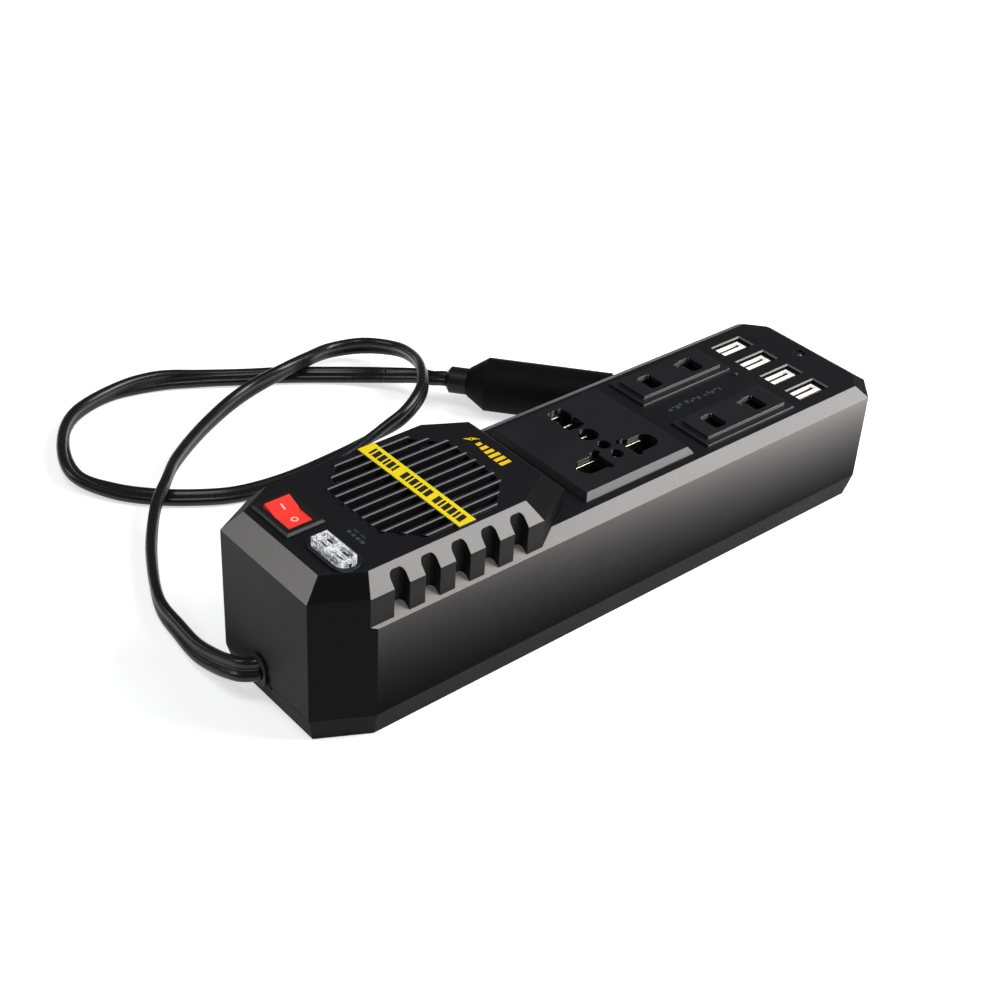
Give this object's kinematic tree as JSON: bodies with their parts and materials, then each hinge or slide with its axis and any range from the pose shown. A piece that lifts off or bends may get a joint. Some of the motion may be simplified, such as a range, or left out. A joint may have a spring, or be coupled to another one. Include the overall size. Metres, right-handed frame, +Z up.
{
  "type": "power inverter",
  "caption": "Long chamfered power inverter with a raised fan grille, rocker switch, AC outlets, charging ports, and a flat cord ending in a vehicle power plug.",
  "frame": {"origin": "centre of the case's underside, on the surface it stands on", "axes": "+X along the case from the cord end to the charging ports, +Y towards the side where the cord and plug lie, +Z up"},
  "size_m": [0.274, 0.234, 0.0676],
  "materials": {
    "case_plastic": "fine-textured black moulded plastic",
    "tray_plastic": "fine-textured black moulded plastic, plainer than the upper shell",
    "yellow_label": null,
    "switch_black": "semi-gloss black",
    "rocker_red": "bright red, semi-gloss, slightly translucent",
    "socket_plastic": "fine-textured black",
    "holder_black": "semi-gloss black",
    "fuse_plastic": "smoked translucent plastic",
    "tin": "tinned contact metal",
    "brass_contact": "stamped brass",
    "nickel_steel": "bright nickel-plated sheet steel",
    "port_white": "white moulded plastic",
    "screw_steel": "zinc-plated steel",
    "black_oxide": "blackened steel",
    "fan_plastic": "black moulded plastic",
    "lens_clear": "clear light pipe",
    "board_green": "green solder mask",
    "ferrite": "sintered ferrite",
    "winding": "tape-wrapped winding",
    "aluminium_can": "sleeved aluminium can",
    "aluminium_fin": "extruded aluminium",
    "cord_rubber": "matte black cord jacket",
    "grommet_rubber": "soft black",
    "wire_red": "red wire insulation",
    "wire_black": "black wire insulation",
    "wire_ac": "brown wire insulation",
    "plug_plastic": "fine-textured black moulded plastic",
    "plug_barrel_plastic": "semi-gloss black",
    "plug_metal": "nickel-plated brass",
    "fuse_glass": "clear glass tube",
    "spring_steel": "spring wire"
  },
  "bodies": {
    "case": {"housing": "case_plastic", "bottom_cover": "tray_plastic", "cover_screws": "screw_steel", "label_strip": "yellow_label", "switch_frame": "switch_black", "switch_terminals": "tin", "fuse_holder": "holder_black", "fuse_terminals": "brass_contact", "fan_frame": "fan_plastic", "fan_screws": "black_oxide", "universal_socket": "socket_plastic", "socket_back_cover": "socket_plastic", "socket_contact_live": "brass_contact", "socket_contact_neutral": "brass_contact", "socket_contact_earth": "brass_contact", "outlet_insert_1": "socket_plastic", "outlet_insert_2": "socket_plastic", "outlet_contacts_1": "brass_contact", "outlet_contacts_2": "brass_contact", "usb_shell_1": "nickel_steel", "usb_shell_2": "nickel_steel", "usb_shell_3": "nickel_steel", "usb_shell_4": "nickel_steel", "usb_tongue_1": "port_white", "usb_tongue_2": "port_white", "usb_tongue_3": "port_white", "usb_tongue_4": "port_white", "usb_board": "board_green", "usb_board_screws": "screw_steel", "power_lens": "lens_clear", "usb_lens": "lens_clear", "main_board": "board_green", "board_screws": "screw_steel", "transformer_core": "ferrite", "transformer_winding": "winding", "input_capacitors": "aluminium_can", "output_capacitor": "aluminium_can", "heat_sink": "aluminium_fin", "mosfets": "holder_black", "cable_grommet": "grommet_rubber", "dc_cable": "cord_rubber", "wire_positive": "wire_red", "wire_negative": "wire_black", "ac_wires": "wire_ac", "usb_wires": "wire_red"},
    "rocker": {"switch_rocker": "rocker_red"},
    "fan": {"fan_rotor": "fan_plastic", "fan_shaft": "screw_steel"},
    "blade_fuse": {"fuse_body": "fuse_plastic", "fuse_blades": "tin"},
    "plug": {"plug_strain_relief": "grommet_rubber", "plug_handle": "plug_plastic", "plug_barrel": "plug_barrel_plastic", "tip_spring": "spring_steel"},
    "plug_end_cap": {"plug_cap": "plug_barrel_plastic"},
    "plug_tip_group": {"plug_tip": "plug_metal", "plug_fuse_tube": "fuse_glass", "plug_fuse_caps": "plug_metal"},
    "contact_1": {"side_contact_1": "plug_metal"},
    "contact_2": {"side_contact_2": "plug_metal"}
  },
  "joints": [
    {"name": "power_rocker", "type": "hinge", "parent": "case", "child": "rocker", "pos_m": [-0.1153, 0.0106, 0.0629], "axis": [-1, 0, 0], "range_deg": [0, 20]},
    {"name": "fan_spin", "type": "hinge", "parent": "case", "child": "fan", "pos_m": [-0.0718, 0, 0.057], "axis": [0, 0, 1], "continuous": true},
    {"name": "fuse_pull", "type": "slide", "parent": "case", "child": "blade_fuse", "axis": [0, 0, 1], "range_m": [0, 0.022]},
    {"name": "plug_swing", "type": "hinge", "parent": "case", "child": "plug", "pos_m": [0.03961, 0.10853, 0.0116], "axis": [0, 0, 1], "range_deg": [0, 50]},
    {"name": "tip_press", "type": "slide", "parent": "plug", "child": "plug_tip_group", "axis": [-0.6508, 0.7593, 0], "range_m": [0, 0.0032], "stiffness_N_per_m": 900, "springref_m": -0.001},
    {"name": "cap_turn", "type": "hinge", "parent": "plug", "child": "plug_end_cap", "pos_m": [0.09167, 0.04778, 0.0116], "axis": [0.6508, -0.7593, 0], "range_deg": [0, 720]},
    {"name": "contact_1_press", "type": "slide", "parent": "plug", "child": "contact_1", "axis": [-0.7593, -0.6508, 0], "range_m": [0, 0.0012], "stiffness_N_per_m": 800, "springref_m": -0.0005},
    {"name": "contact_2_press", "type": "slide", "parent": "plug", "child": "contact_2", "axis": [0.7593, 0.6508, 0], "range_m": [0, 0.0012], "stiffness_N_per_m": 800, "springref_m": -0.0005}
  ]
}
